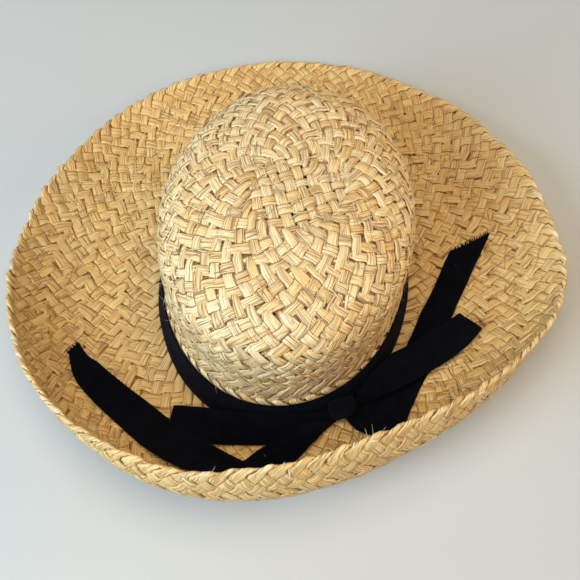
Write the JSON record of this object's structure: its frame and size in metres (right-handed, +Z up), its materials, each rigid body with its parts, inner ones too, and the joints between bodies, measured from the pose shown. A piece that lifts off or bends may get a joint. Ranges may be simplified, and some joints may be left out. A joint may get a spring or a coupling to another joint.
{
  "type": "raffia sun hat",
  "caption": "Raffia sun hat with a rounded plaited crown, a wide upturned brim and a dark ribbon band tied in a loose bow with long cut tails.",
  "frame": {"origin": "centre of the oval head opening, on the floor that the hat rests on", "axes": "+Z up towards the crown's tip, +Y along the long way of the hat towards the flat side of the brim, -Y towards the bow and the side that turns up most, +X towards the side of the right bow loop"},
  "size_m": [0.3475, 0.3656, 0.1073],
  "materials": {
    "raffia": "matte plaited raffia straw",
    "ribbon": "matte near-black woven ribbon with raw cut ends"
  },
  "bodies": {
    "root": {"crown": "raffia", "brim": "raffia", "hat_band": "ribbon", "bow_knot": "ribbon", "bow_loop_left": "ribbon", "bow_loop_right": "ribbon", "bow_tail_left": "ribbon", "bow_tail_right": "ribbon"}
  },
  "joints": []
}
